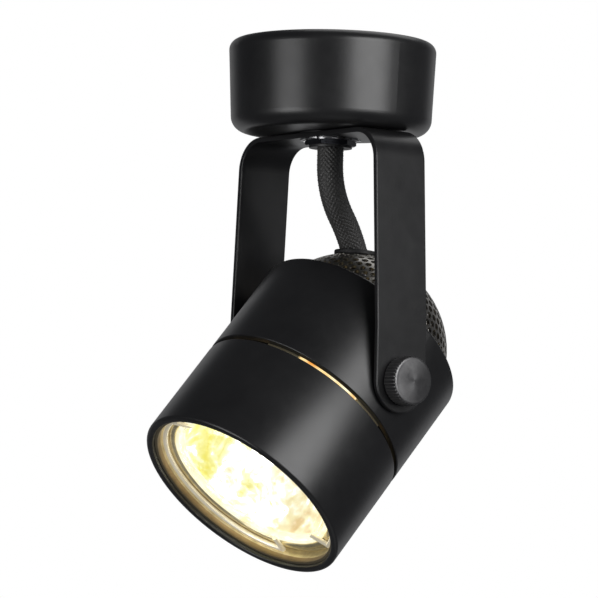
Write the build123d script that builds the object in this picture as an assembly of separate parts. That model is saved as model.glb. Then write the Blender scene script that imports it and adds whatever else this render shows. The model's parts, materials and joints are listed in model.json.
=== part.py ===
from build123d import *
import os
from math import cos, radians, sin, sqrt

# Surface-mounted adjustable spotlight for one 50 mm twist-lock mains reflector lamp.
# Millimetres, +Z up. The origin is the centre of the mounting strap's ceiling face, and
# everything hangs below it. The yoke swivels about Z and the head tilts about X.

# ---- driving dimensions -------------------------------------------------------------
CANOPY_TOP_R = 30.0
CANOPY_BOTTOM_R = 28.75
CANOPY_HEIGHT = 26.6
CANOPY_WALL = 1.2
CANOPY_MOUTH_R = 26.6
CANOPY_LIP_ROUND = 2.9
CANOPY_FOOT_ROUND = 4.5

STRAP_WIDTH = 14.0
STRAP_SHEET = 1.5
STRAP_HALF_LENGTH = 25.0
STRAP_DROP = 12.0
STRAP_CHANNEL_HALF = 12.0
SLOT_OFFSET = 19.5
SLOT_LENGTH = 7.0
SLOT_R = 2.25

NIPPLE_R = 5.0
NIPPLE_BORE_R = 4.0
NIPPLE_TOP_Z = -6.5
THREAD_PLAY = 0.03
RUNNING_PLAY = 0.07

PAN_WASHER_T = 0.2
STAR_WASHER_T = 0.4
NIPPLE_NUT_T = 1.4
NIPPLE_NUT_FLATS = 13.0
BUSH_T = 0.7

YOKE_WIDTH = 17.9
YOKE_SHEET = 1.5
YOKE_HALF_GAP = 32.3
YOKE_TOP_HALF_GAP = 29.5
YOKE_BEND_R = 9.5
YOKE_SET_HEIGHT = 15.0
YOKE_EDGE_ROUND = 0.3

PIVOT_Z = -98.3
HEAD_TILT = 41.8
HEAD_R = 32.0
HEAD_FRONT = -44.5
HEAD_REAR = 18.8
HEAD_WALL_FRONT = 2.2
HEAD_WALL_REAR = 1.8
LIGHT_GAP_FRONT = -13.85
LIGHT_GAP_REAR = -12.35
WINDOW_COUNT = 6
WINDOW_ANGLE = 40.0
WINDOW_FIRST_CENTRE = -30.0

DOME_R = 28.2
DOME_SHEET = 0.8
DOME_CENTRE = 13.04
DOME_FLANGE = 17.0
ENTRY_ANGLE = 38.3

SLEEVE_R = 3.85
SLEEVE_TOP_Z = -6.0
WIRE_R = 0.9

LAMP_R = 25.35
LAMP_SEAT = -36.8
LAMP_RIM_FRONT = -39.2
LAMP_PIN_OFFSET = 5.0
LAMP_TWIST = 20
HOLDER_FRONT = 6.4
HOLDER_REAR = 15.2
HOLDER_R = 13.5

KNOB_R = 6.9
KNOB_LENGTH = 5.4
KNOB_TEETH = 42
KNOB_TOOTH_DEPTH = 0.35
KNOB_WASHER_T = 0.2
STUD_R = 2.0

# ---- heights that follow from them --------------------------------------------------
CANOPY_FLOOR_Z = -CANOPY_HEIGHT
YOKE_WEB_TOP_Z = CANOPY_FLOOR_Z - PAN_WASHER_T
YOKE_WEB_BOTTOM_Z = YOKE_WEB_TOP_Z - YOKE_SHEET
NUT_TOP_Z = YOKE_WEB_BOTTOM_Z - STAR_WASHER_T
NUT_BOTTOM_Z = NUT_TOP_Z - NIPPLE_NUT_T
NIPPLE_END_Z = NUT_BOTTOM_Z - 0.2
BUSH_END_Z = NUT_BOTTOM_Z - BUSH_T
KNOB_SEAT_X = YOKE_HALF_GAP + YOKE_SHEET + KNOB_WASHER_T

# Head parts are drawn about the pivot with +Z to the rear, then tilted into place.
HEAD_PLACE = Pos(0, 0, PIVOT_Z) * Rot(-HEAD_TILT, 0, 0)
SLEEVE_ROUTE = [(0, 0, SLEEVE_TOP_Z), (0, 0, -43.5), (0, 9.4, -57.2), (0, 11.6, -66.0)]
SLEEVE_ARCS = [15.0, 18.0]


def rounded_face(points, rounds=None):
    """Closed flat outline of the points, with the radius given for each named corner."""
    face = make_face(Polyline(*points, close=True))
    for index, radius in (rounds or {}).items():
        place = Vector(points[index][0], points[index][1], 0)
        corner = face.vertices().sort_by_distance(place)[0]
        face = fillet(corner, radius)
    return face


def turned(points, rounds=None):
    """Solid of revolution about Z from (radius, height) points."""
    return revolve(Plane.XZ * rounded_face(points, rounds), Axis.Z)


def ring(inner, outer, low, high):
    """Plain washer or tube about Z."""
    return turned([(inner, low), (outer, low), (outer, high), (inner, high)])


def cylinder_between(radius, low, high):
    """Cylinder about Z from height low to height high."""
    return Pos(0, 0, (low + high) / 2) * Cylinder(radius, high - low)


def hex_nut(flats, bore, low, high):
    """Chamfered hexagon nut about Z."""
    corner_r = flats / sqrt(3)
    body = extrude(RegularPolygon(corner_r, 6), high - low)
    cone = turned(
        [(0, 0), (corner_r - 0.5, 0), (corner_r + 0.3, 0.45),
         (corner_r + 0.3, high - low - 0.45), (corner_r - 0.5, high - low), (0, high - low)]
    )
    body = (body & cone) - Pos(0, 0, (high - low) / 2) * Cylinder(bore, high - low)
    return Pos(0, 0, low) * body


def tube_along(route, arcs, radius):
    """Round solid along straight runs joined by tangent arcs."""
    path = FilletPolyline(*route, radius=arcs) if arcs else Polyline(*route)
    section = Plane(origin=path @ 0, z_dir=path % 0) * Circle(radius)
    return sweep(section, path)


def mirrored_pair(shape):
    """The shape and its mirror image across the YZ plane."""
    return [shape, mirror(shape, Plane.YZ)]


# ---- ceiling end --------------------------------------------------------------------
def canopy_shell():
    """Spun cup with a rolled lip at the ceiling and a hole for the nipple."""
    wall = CANOPY_WALL
    return turned(
        [
            (CANOPY_MOUTH_R, 0),
            (CANOPY_TOP_R, 0),
            (CANOPY_BOTTOM_R, CANOPY_FLOOR_Z),
            (NIPPLE_R + 0.15, CANOPY_FLOOR_Z),
            (NIPPLE_R + 0.15, CANOPY_FLOOR_Z + wall),
            (CANOPY_BOTTOM_R - wall, CANOPY_FLOOR_Z + wall),
            (CANOPY_TOP_R - wall, -wall),
            (CANOPY_MOUTH_R, -wall),
        ],
        {1: CANOPY_LIP_ROUND, 2: CANOPY_FOOT_ROUND, 5: CANOPY_FOOT_ROUND - wall, 6: CANOPY_LIP_ROUND - wall},
    )


def mounting_strap():
    """Hat-shaped ceiling strap: two slotted feet, a dropped web and a tongue for the block."""
    sheet = STRAP_SHEET
    channel = STRAP_CHANNEL_HALF
    end = STRAP_HALF_LENGTH
    outline = rounded_face(
        [
            (-end, 0), (-channel, 0), (-channel, sheet - STRAP_DROP), (channel, sheet - STRAP_DROP),
            (channel, 0), (end, 0), (end, -sheet), (channel + sheet, -sheet),
            (channel + sheet, -STRAP_DROP), (-channel - sheet, -STRAP_DROP),
            (-channel - sheet, -sheet), (-end, -sheet),
        ],
        {1: 2.0, 2: 0.5, 3: 0.5, 4: 2.0, 7: 0.5, 8: 2.0, 9: 2.0, 10: 0.5},
    )
    strap = extrude(Plane.XZ * outline, STRAP_WIDTH / 2, both=True)
    tongue = Pos(0, 14.5, sheet / 2 - STRAP_DROP) * Box(11, 16, sheet)
    strap = strap + fillet(tongue.edges().filter_by(Axis.Z).group_by(Axis.Y)[-1], 2.0)
    for side in (-1, 1):
        slot = extrude(SlotOverall(SLOT_LENGTH, 2 * SLOT_R), 2 * sheet, both=True)
        strap -= Pos(side * SLOT_OFFSET, 0, 0) * slot
    strap -= Pos(0, 0, -STRAP_DROP) * Cylinder(NIPPLE_R + 0.1, 4 * sheet)
    strap -= Pos(4, 17, -STRAP_DROP) * Cylinder(1.25, 4 * sheet)
    return strap


def hollow_nipple():
    """Threaded tube that joins strap, canopy and yoke and lets the sleeve through."""
    body = ring(NIPPLE_BORE_R, NIPPLE_R, NIPPLE_END_Z, NIPPLE_TOP_Z)
    ends = body.edges().filter_by(GeomType.CIRCLE).filter_by(lambda e: e.radius > NIPPLE_R - 0.01)
    return chamfer(ends, 0.3)


def star_washer():
    """External-tooth lock washer."""
    root_r, tip_r, teeth = 7.5, 8.75, 12
    blank = cylinder_between(tip_r, NUT_TOP_Z, YOKE_WEB_BOTTOM_Z)
    blank -= cylinder_between(NIPPLE_R + 0.1, NUT_TOP_Z, YOKE_WEB_BOTTOM_Z)
    notch = Pos(root_r + 1.5, 0, (NUT_TOP_Z + YOKE_WEB_BOTTOM_Z) / 2) * Box(3, 2.0, 1)
    for tooth in range(teeth):
        blank -= Rot(0, 0, tooth * 360 / teeth) * notch
    return blank


def nipple_bush():
    """Edge protector over the nipple's lower end."""
    inner = NIPPLE_R + THREAD_PLAY
    return turned(
        [
            (NIPPLE_BORE_R, BUSH_END_Z), (6.2, BUSH_END_Z), (6.2, NUT_BOTTOM_Z),
            (inner, NUT_BOTTOM_Z), (inner, NIPPLE_END_Z), (NIPPLE_BORE_R, NIPPLE_END_Z),
        ]
    )


BLOCK_Y = 17.0
BLOCK_SIZE = (24.0, 10.0, 9.0)
BLOCK_Z = STRAP_SHEET - STRAP_DROP + BLOCK_SIZE[2] / 2
POLE_PITCH = 8.0
POLES = (-1, 0, 1)


def terminal_block():
    """Three-pole screw terminal block that stands on the strap's tongue."""
    block = Pos(0, BLOCK_Y, BLOCK_Z) * Box(*BLOCK_SIZE)
    block = fillet(block.edges().filter_by(Axis.Z), 1.2)
    for pole in POLES:
        across = Pos(pole * POLE_PITCH, BLOCK_Y, BLOCK_Z) * Rot(90, 0, 0)
        block -= across * Cylinder(2.05, 12)
        for end in (-1, 1):
            block -= Pos(pole * POLE_PITCH, BLOCK_Y + end * 2.7, BLOCK_Z + 3.2) * Cylinder(1.65, 3.4)
    block -= Pos(4, BLOCK_Y, BLOCK_Z) * Cylinder(1.25, 12)
    block -= Pos(4, BLOCK_Y, BLOCK_Z + 4) * Cylinder(1.9, 4)
    return block


def terminal_tubes():
    """Brass tubes inside the block, one for each pole."""
    tubes = []
    for pole in POLES:
        tube = Cylinder(2.0, 9) - Cylinder(1.2, 9)
        tube = Pos(pole * POLE_PITCH, BLOCK_Y, BLOCK_Z) * Rot(90, 0, 0) * tube
        for end in (-1, 1):
            tube -= Pos(pole * POLE_PITCH, BLOCK_Y + end * 2.7, BLOCK_Z + 2) * Cylinder(1.0, 4)
        tubes.append(tube)
    return Compound(tubes)


def terminal_screws():
    """Six grub screws that clamp the conductors."""
    screws = []
    for pole in POLES:
        for end in (-1, 1):
            screw = cylinder_between(1.5, 2.1, 3.9) + cylinder_between(0.95, 1.0, 2.1)
            screw -= Pos(0, 0, 3.9) * Box(3.2, 0.5, 1.2)
            screws.append(Pos(pole * POLE_PITCH, BLOCK_Y + end * 2.7, BLOCK_Z) * screw)
    return Compound(screws)


def block_screw():
    """Screw that holds the terminal block to the tongue."""
    screw = cylinder_between(1.2, -7.0, 2.0) + cylinder_between(1.8, 2.0, 3.2)
    screw -= Pos(0, 0, 3.2) * Box(4, 0.5, 1.2)
    return Pos(4, BLOCK_Y, BLOCK_Z) * screw


def supply_wire(pole):
    """One insulated conductor from the sleeve's top to its pole of the terminal block."""
    start = 1.9 * pole
    end = POLE_PITCH * pole
    face = BLOCK_Y - BLOCK_SIZE[1] / 2
    route = [
        (start, 0, SLEEVE_TOP_Z + 0.05),
        (start, 0, -3.2),
        (0.6 * end + 0.4 * start, 6.2, -3.0),
        (end, face - 2.0, BLOCK_Z),
        (end, face + 2.0, BLOCK_Z),
    ]
    return tube_along(route, [1.6, 2.2, 1.6], WIRE_R)


# ---- yoke ---------------------------------------------------------------------------
def yoke_strap():
    """Flat strap bent to an inverted U; the legs spread slightly and end parallel."""
    gap, top_gap, sheet = YOKE_HALF_GAP, YOKE_TOP_HALF_GAP, YOKE_SHEET
    half = YOKE_WIDTH / 2
    foot, bend = PIVOT_Z - half, PIVOT_Z + YOKE_SET_HEIGHT
    outer = [(gap + sheet, foot), (gap + sheet, bend), (top_gap + sheet, YOKE_WEB_TOP_Z)]
    inner = [(gap, foot), (gap, bend), (top_gap, YOKE_WEB_BOTTOM_Z)]
    points = outer + [(-x, z) for x, z in reversed(outer)]
    points += [(-x, z) for x, z in inner] + list(reversed(inner))
    bends = {1: 25.0, 2: YOKE_BEND_R, 3: YOKE_BEND_R, 4: 25.0}
    bends.update({7: 25.0, 8: YOKE_BEND_R - sheet, 9: YOKE_BEND_R - sheet, 10: 25.0})
    body = extrude(Plane.XZ * rounded_face(points, bends), half, both=True)
    side = Rectangle(YOKE_WIDTH, YOKE_WEB_TOP_Z - PIVOT_Z, align=(Align.CENTER, Align.MIN)) + Circle(half)
    body &= Pos(0, 0, PIVOT_Z) * extrude(Plane.YZ * side, 2 * gap, both=True)
    rims = [edge for edge in body.edges().filter_by(Axis.Y, reverse=True) if edge.length > 2 * sheet]
    body = fillet(rims, YOKE_EDGE_ROUND)
    body -= Pos(0, 0, YOKE_WEB_TOP_Z) * Cylinder(NIPPLE_R + RUNNING_PLAY, 6)
    body -= Pos(0, 0, PIVOT_Z) * Rot(0, 90, 0) * Cylinder(STUD_R + 0.15, 80)
    return body


def pivot_washer():
    """Thin washer between the right leg and the head."""
    flat = Pos(YOKE_HALF_GAP - 0.13, 0, PIVOT_Z) * Rot(0, 90, 0)
    return flat * (Cylinder(5.5, 0.22) - Cylinder(STUD_R + 0.15, 0.22))


def cable_sleeve():
    """Braided sleeve that carries the lamp leads from the canopy into the head."""
    return tube_along(SLEEVE_ROUTE, SLEEVE_ARCS, SLEEVE_R)


# ---- head, drawn about the pivot with +Z to the rear -----------------------------------
def front_housing():
    """Front tube of the head."""
    inner = HEAD_R - HEAD_WALL_FRONT
    shell = turned(
        [(inner, HEAD_FRONT), (HEAD_R, HEAD_FRONT), (HEAD_R, LIGHT_GAP_FRONT), (inner, LIGHT_GAP_FRONT)],
        {0: 0.5, 1: 0.9, 2: 0.35},
    )
    return HEAD_PLACE * shell


def rear_housing():
    """Rear tube of the head, with the two pivot holes."""
    inner = HEAD_R - HEAD_WALL_REAR
    shell = turned(
        [(inner, LIGHT_GAP_REAR), (HEAD_R, LIGHT_GAP_REAR), (HEAD_R, HEAD_REAR), (inner, HEAD_REAR)],
        {1: 0.35, 2: 0.9, 3: 0.4},
    )
    shell -= Rot(0, 90, 0) * Cylinder(STUD_R + 0.3, 80)
    return HEAD_PLACE * shell


def carrier_ring():
    """Inner ring that joins both housings across the light gap, with light windows."""
    body = turned(
        [(28.5, -21), (29.75, -21), (29.75, -8.5), (30.15, -8.5), (30.15, -7.5), (28.5, -7.5)]
    )
    pane = Plane.XZ * Pos(29, -13.25) * Rectangle(4, 6.5)
    window = Rot(0, 0, -WINDOW_ANGLE / 2) * revolve(pane, Axis.Z, WINDOW_ANGLE)
    for number in range(WINDOW_COUNT):
        body -= Rot(0, 0, WINDOW_FIRST_CENTRE + number * 360 / WINDOW_COUNT) * window
    return HEAD_PLACE * body


def lamp_seat_ring():
    """Stepped ring in the front tube that the lamp's rim rests on."""
    return HEAD_PLACE * turned(
        [
            (28.95, -41.5), (29.75, -41.5), (29.75, -38.7), (27.0, -38.7), (27.0, -36.0),
            (24.6, -36.0), (24.6, LAMP_SEAT), (26.2, LAMP_SEAT), (26.2, -39.5), (28.95, -39.5),
        ]
    )


RING_WIRE_R = 0.75
RING_R = 28.05
RING_Z = -40.3
RING_OPEN_START = 60.0
RING_OPEN_ANGLE = 48.0
RING_TAB_ANGLE = 261.0
PRONG_REACH = 5.8
PRONG_LIFT = 0.7
TAB_WIDTH = 2.2


def retaining_ring():
    """Open wire ring in front of the lamp, with two inward prongs and a leaf opposite them."""
    wire = Plane.XZ * Pos(RING_R, RING_Z) * Circle(RING_WIRE_R)
    opened = RING_OPEN_START + RING_OPEN_ANGLE
    body = Rot(0, 0, opened) * revolve(wire, Axis.Z, 360 - RING_OPEN_ANGLE)
    prong = tube_along([(RING_R, 0, RING_Z), (RING_R - PRONG_REACH, 0, RING_Z - PRONG_LIFT)], [], 0.7)
    prong += Pos(RING_R, 0, RING_Z) * Sphere(RING_WIRE_R + 0.04)
    for angle in (RING_OPEN_START, opened):
        body += Rot(0, 0, angle) * prong
    leaf = rounded_face(
        [(28.1, -40.3), (28.85, -40.3), (28.85, -42.9), (28.4, -43.3), (23.9, -40.5), (24.2, -39.85), (28.1, -42.2)]
    )
    body += Rot(0, 0, RING_TAB_ANGLE) * extrude(Plane.XZ * leaf, TAB_WIDTH / 2, both=True)
    return HEAD_PLACE * body


def entry_place():
    """Where the sleeve enters the dome, with +Z outwards."""
    return Pos(0, 0, DOME_CENTRE) * Rot(ENTRY_ANGLE, 0, 0)


def rear_dome():
    """Ventilated rear dome with a flange and an off-centre hole for the sleeve."""
    shell = Sphere(DOME_R) - Sphere(DOME_R - DOME_SHEET)
    shell = Pos(0, 0, DOME_CENTRE) * shell
    shell &= cylinder_between(DOME_R + 1, DOME_FLANGE, 60)
    rim_r = sqrt((DOME_R - DOME_SHEET / 2) ** 2 - (DOME_FLANGE - DOME_CENTRE) ** 2)
    shell += ring(rim_r, 30.1, DOME_FLANGE, DOME_FLANGE + DOME_SHEET)
    shell -= entry_place() * Pos(0, 0, DOME_R) * Cylinder(5.25, 8)
    return HEAD_PLACE * shell


def dome_ring():
    """Snap ring that holds the dome's flange in the rear tube."""
    low = DOME_FLANGE + DOME_SHEET
    return HEAD_PLACE * ring(28.6, 30.1, low, low + 0.7)


def sleeve_grommet():
    """Soft bush between the sleeve and the dome's edge."""
    body = turned(
        [
            (4.7, -2.9), (6.1, -2.9), (6.1, -1.7), (5.2, -1.7), (5.2, -0.4), (6.3, -0.4),
            (6.3, 0.7), (4.7, 0.7),
        ],
        {1: 0.4, 6: 0.4},
    )
    return HEAD_PLACE * entry_place() * Pos(0, 0, DOME_R) * body


BRACKET_X = 29.5
BRACKET_SHEET = 1.3
BRACKET_HALF_WIDTH = 6.0
BRACKET_WEB_REAR = HOLDER_REAR + 1.2


def holder_bracket():
    """U bracket: its ears sit under the pivot nuts and its web carries the lamp holder."""
    inner = BRACKET_X - BRACKET_SHEET
    ear = -BRACKET_HALF_WIDTH
    outline = rounded_face(
        [
            (BRACKET_X, ear), (BRACKET_X, BRACKET_WEB_REAR), (-BRACKET_X, BRACKET_WEB_REAR),
            (-BRACKET_X, ear), (-inner, ear), (-inner, HOLDER_REAR), (inner, HOLDER_REAR), (inner, ear),
        ],
        {1: 2.3, 2: 2.3, 5: 1.0, 6: 1.0},
    )
    body = extrude(Plane.XZ * outline, BRACKET_HALF_WIDTH, both=True)
    side = Circle(BRACKET_HALF_WIDTH) + Pos(0, 15) * Rectangle(2 * BRACKET_HALF_WIDTH, 30)
    body &= extrude(Plane.YZ * side, 40, both=True)
    body -= Rot(0, 90, 0) * Cylinder(STUD_R + 0.2, 80)
    body -= Pos(0, 0, HOLDER_REAR) * Cylinder(3.6, 6)
    for side_x in (-9, 9):
        body -= Pos(side_x, 0, HOLDER_REAR) * Cylinder(1.6, 6)
    return HEAD_PLACE * body


def pivot_nut():
    """Nut under the right ear of the bracket, which the knob's stud screws into."""
    inner = BRACKET_X - BRACKET_SHEET
    nut = hex_nut(7.0, STUD_R + 0.06, 0, 3.2)
    return HEAD_PLACE * Pos(inner - 3.2, 0, 0) * Rot(0, 90, 0) * nut


def lamp_holder():
    """Ceramic twist-lock holder with two undercut slots."""
    body = cylinder_between(HOLDER_R, HOLDER_FRONT, HOLDER_REAR)
    body = fillet(body.edges().filter_by(GeomType.CIRCLE), 0.8)
    for side in (0, 180):
        for angle in range(0, LAMP_TWIST + 1, 5):
            spot = Rot(0, 0, side - angle) * Pos(0, LAMP_PIN_OFFSET, 0)
            body -= spot * cylinder_between(2.8, 9.3, 13.4)
            body -= spot * cylinder_between(1.9, HOLDER_FRONT - 1, 9.5)
        body -= Rot(0, 0, side - LAMP_TWIST) * Pos(0, LAMP_PIN_OFFSET, 0) * cylinder_between(2.8, 5, 9.5)
    for side_x in (-9, 9):
        body -= Pos(side_x, 0, 0) * cylinder_between(1.5, 10.2, 20)
    return HEAD_PLACE * body


def holder_contacts():
    """Two spring contacts behind the pins."""
    blades = [Rot(0, 0, turn) * Pos(0, LAMP_PIN_OFFSET, 13.0) * Box(3, 3.6, 0.4) for turn in (0, 180)]
    return HEAD_PLACE * Compound(blades)


def holder_screws():
    """Two screws from the bracket into the ceramic."""
    screws = []
    for side_x in (-9, 9):
        screw = cylinder_between(1.5, 10.6, BRACKET_WEB_REAR)
        screw += cylinder_between(2.7, BRACKET_WEB_REAR, BRACKET_WEB_REAR + 1.7)
        screw -= Pos(0, 0, BRACKET_WEB_REAR + 1.7) * Box(6, 0.7, 1.4)
        screws.append(Pos(side_x, 0, 0) * screw)
    return HEAD_PLACE * Compound(screws)


def head_lead(side):
    """Lamp lead from the sleeve's lower end to the back of the holder."""
    route = [
        (side * 1.5, -12.4, 31.3), (side * 1.5, -6.2, 27.1), (side * 1.6, -1.4, 22.5),
        (side * 1.6, 0.2, HOLDER_REAR - 0.8),
    ]
    return HEAD_PLACE * tube_along(route, [5.0, 5.0], WIRE_R)


def earth_lead():
    """Earth lead from the sleeve's lower end to its tag on the bracket."""
    route = [
        (0.0, -13.9, 29.4), (2.8, -9.2, 25.0), (10.2, -4.6, 20.3), (14.8, -1.6, BRACKET_WEB_REAR + 2.0),
    ]
    return HEAD_PLACE * tube_along(route, [5.0, 5.0], WIRE_R)


def earth_tag():
    """Ring tag and screw that fix the earth lead to the bracket."""
    tag = Pos(15.5, 0, BRACKET_WEB_REAR) * (cylinder_between(3.2, 0, 0.8) + cylinder_between(2.3, 0.8, 2.2))
    tag -= Pos(15.5, 0, BRACKET_WEB_REAR + 2.2) * Box(6, 0.6, 1.0)
    return HEAD_PLACE * tag


# ---- lamp, in the head's axes -----------------------------------------------------------
def lamp_reflector():
    """Glass bowl of the reflector lamp."""
    rim_back = LAMP_SEAT - 0.1
    outline = make_face(
        [
            Line((LAMP_R, rim_back), (LAMP_R, LAMP_RIM_FRONT)),
            Line((LAMP_R, LAMP_RIM_FRONT), (24.3, LAMP_RIM_FRONT)),
            Line((24.3, LAMP_RIM_FRONT), (24.3, -37.4)),
            Line((24.3, -37.4), (23.3, -37.4)),
            ThreePointArc((23.3, -37.4), (19.4, -24.6), (6.0, -13.2)),
            Line((6.0, -13.2), (6.0, -9.4)),
            Line((6.0, -9.4), (11.0, -9.4)),
            ThreePointArc((11.0, -9.4), (20.6, -22.9), (24.2, rim_back)),
            Line((24.2, rim_back), (LAMP_R, rim_back)),
        ]
    )
    return HEAD_PLACE * revolve(Plane.XZ * outline, Axis.Z)


def lamp_lens():
    """Slightly crowned front glass."""
    lens_r, crown = 24.25, 1.0
    curve_r = (lens_r**2 + crown**2) / (2 * crown)
    disc = cylinder_between(lens_r, LAMP_RIM_FRONT - crown, -37.5)
    return HEAD_PLACE * (disc & Pos(0, 0, LAMP_RIM_FRONT - crown + curve_r) * Sphere(curve_r))


def lamp_base():
    """Ceramic foot of the lamp."""
    body = turned([(0, -9.3), (11.0, -9.3), (11.6, -4.0), (11.6, 6.0), (0, 6.0)], {2: 1.5, 3: 1.0})
    return HEAD_PLACE * body


def lamp_pins():
    """Two mushroom pins."""
    pins = []
    for side in (-1, 1):
        pin = cylinder_between(1.6, 6.0, 9.8) + cylinder_between(2.5, 9.8, 12.5)
        pins.append(Pos(0, side * LAMP_PIN_OFFSET, 0) * pin)
    return HEAD_PLACE * Compound(pins)


def lamp_capsule():
    """Quartz burner inside the bowl."""
    shell = cylinder_between(4.6, -28.0, -9.35)
    shell = fillet(shell.edges().group_by(Axis.Z)[0], 3.6)
    hollow = fillet(cylinder_between(3.7, -27.1, -16.0).edges().group_by(Axis.Z)[0], 2.9)
    return HEAD_PLACE * (shell - hollow)


def lamp_filament():
    """Coiled filament, as its outer envelope on two stems."""
    coil = Pos(0, 0, -23.0) * Rot(0, 90, 0) * Cylinder(0.6, 4.4)
    for side in (-1, 1):
        coil += Pos(side * 1.8, 0, -19.5) * Cylinder(0.25, 7.0)
    return HEAD_PLACE * coil


# ---- clamp knobs ------------------------------------------------------------------------
def knob_cap():
    """Straight-knurled right knob with a chamfered face."""
    points = []
    for tooth in range(2 * KNOB_TEETH):
        reach = KNOB_R - KNOB_TOOTH_DEPTH * (tooth % 2)
        turn = radians(tooth * 180 / KNOB_TEETH)
        points.append((reach * cos(turn), reach * sin(turn)))
    body = extrude(make_face(Polyline(*points, close=True)), KNOB_LENGTH)
    envelope = turned(
        [
            (0, 0), (KNOB_R - 0.35, 0), (KNOB_R + 0.1, 0.45), (KNOB_R + 0.1, KNOB_LENGTH - 0.55),
            (KNOB_R - 0.45, KNOB_LENGTH), (0, KNOB_LENGTH),
        ]
    )
    body &= envelope
    body -= cylinder_between(STUD_R, -1, KNOB_LENGTH - 1.6)
    return Pos(KNOB_SEAT_X, 0, PIVOT_Z) * Rot(0, 90, 0) * body


def knob_stud():
    """Threaded stud moulded into the right knob."""
    body = cylinder_between(STUD_R, 25.4, KNOB_SEAT_X + KNOB_LENGTH - 1.6)
    body = chamfer(body.edges().group_by(Axis.Z)[0], 0.4)
    return Pos(0, 0, PIVOT_Z) * Rot(0, 90, 0) * body


def knob_washer():
    """Washer under the right knob."""
    body = ring(STUD_R + 0.1, 6.2, KNOB_SEAT_X - KNOB_WASHER_T, KNOB_SEAT_X)
    return Pos(0, 0, PIVOT_Z) * Rot(0, 90, 0) * body


def all_parts():
    """Every node of the spotlight by name."""
    parts = {
        "canopy_shell": canopy_shell(),
        "mounting_strap": mounting_strap(),
        "hollow_nipple": hollow_nipple(),
        "strap_nut_top": hex_nut(14, NIPPLE_R + THREAD_PLAY, STRAP_SHEET - STRAP_DROP, 4.5 - STRAP_DROP),
        "strap_nut_bottom": hex_nut(14, NIPPLE_R + THREAD_PLAY, -3.0 - STRAP_DROP, -STRAP_DROP),
        "spacer_tube": ring(NIPPLE_R + 0.2, 6.6, CANOPY_FLOOR_Z + CANOPY_WALL, -3.0 - STRAP_DROP),
        "pan_washer": ring(NIPPLE_R + 0.1, 9.0, YOKE_WEB_TOP_Z, CANOPY_FLOOR_Z),
        "star_washer": star_washer(),
        "nipple_nut": hex_nut(NIPPLE_NUT_FLATS, NIPPLE_R + THREAD_PLAY, NUT_BOTTOM_Z, NUT_TOP_Z),
        "nipple_bush": nipple_bush(),
        "terminal_block": terminal_block(),
        "terminal_tubes": terminal_tubes(),
        "terminal_screws": terminal_screws(),
        "block_screw": block_screw(),
        "live_wire": supply_wire(-1),
        "earth_wire": supply_wire(0),
        "neutral_wire": supply_wire(1),
        "yoke_strap": yoke_strap(),
        "cable_sleeve": cable_sleeve(),
        "front_housing": front_housing(),
        "rear_housing": rear_housing(),
        "carrier_ring": carrier_ring(),
        "lamp_seat_ring": lamp_seat_ring(),
        "retaining_ring": retaining_ring(),
        "rear_dome": rear_dome(),
        "dome_ring": dome_ring(),
        "sleeve_grommet": sleeve_grommet(),
        "holder_bracket": holder_bracket(),
        "lamp_holder": lamp_holder(),
        "holder_contacts": holder_contacts(),
        "holder_screws": holder_screws(),
        "live_lead": head_lead(-1),
        "neutral_lead": head_lead(1),
        "earth_lead": earth_lead(),
        "earth_tag": earth_tag(),
        "lamp_reflector": lamp_reflector(),
        "lamp_lens": lamp_lens(),
        "lamp_base": lamp_base(),
        "lamp_pins": lamp_pins(),
        "lamp_capsule": lamp_capsule(),
        "lamp_filament": lamp_filament(),
    }
    for name, shape in (
        ("pivot_washer", pivot_washer()),
        ("pivot_nut", pivot_nut()),
        ("knob_washer", knob_washer()),
        ("knob_cap", knob_cap()),
        ("knob_stud", knob_stud()),
    ):
        right, left = mirrored_pair(shape)
        parts[name + "_right"] = right
        parts[name + "_left"] = left
    return parts


os.makedirs("parts", exist_ok=True)
for node, solid in all_parts().items():
    solid.label = node
    export_step(solid, f"parts/{node}.step")
print("sleeve arc radii, mm:", SLEEVE_ARCS)
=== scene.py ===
import json
import math

import bmesh
import bpy
from mathutils import Matrix, Vector


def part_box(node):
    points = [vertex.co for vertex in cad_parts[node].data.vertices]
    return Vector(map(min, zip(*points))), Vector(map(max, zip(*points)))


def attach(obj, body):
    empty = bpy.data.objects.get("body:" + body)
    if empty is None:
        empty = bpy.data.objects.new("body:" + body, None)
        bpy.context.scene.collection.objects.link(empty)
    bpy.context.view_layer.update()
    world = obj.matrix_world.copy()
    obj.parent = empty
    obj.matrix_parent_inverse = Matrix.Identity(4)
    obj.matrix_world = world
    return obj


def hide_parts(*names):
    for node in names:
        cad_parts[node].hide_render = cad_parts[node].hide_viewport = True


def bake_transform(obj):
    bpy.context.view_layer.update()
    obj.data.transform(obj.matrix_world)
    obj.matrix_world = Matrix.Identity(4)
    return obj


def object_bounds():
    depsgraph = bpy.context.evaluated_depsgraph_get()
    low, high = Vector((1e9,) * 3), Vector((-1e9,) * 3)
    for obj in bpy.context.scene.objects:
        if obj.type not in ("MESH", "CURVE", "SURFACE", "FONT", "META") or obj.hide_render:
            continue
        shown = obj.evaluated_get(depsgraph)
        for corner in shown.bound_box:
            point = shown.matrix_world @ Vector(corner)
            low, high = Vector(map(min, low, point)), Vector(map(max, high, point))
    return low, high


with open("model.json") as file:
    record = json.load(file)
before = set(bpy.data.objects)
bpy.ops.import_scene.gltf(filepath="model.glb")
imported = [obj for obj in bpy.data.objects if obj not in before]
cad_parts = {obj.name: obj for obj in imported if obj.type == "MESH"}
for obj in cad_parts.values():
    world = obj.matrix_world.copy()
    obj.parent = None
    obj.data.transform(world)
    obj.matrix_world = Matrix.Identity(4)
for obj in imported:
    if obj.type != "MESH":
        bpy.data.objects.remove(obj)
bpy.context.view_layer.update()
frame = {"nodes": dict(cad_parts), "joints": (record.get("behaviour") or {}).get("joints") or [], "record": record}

# Looks of the spotlight. Outlines below are in millimetres, as in the CAD model; meshes are in metres.
MM = 0.001
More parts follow.
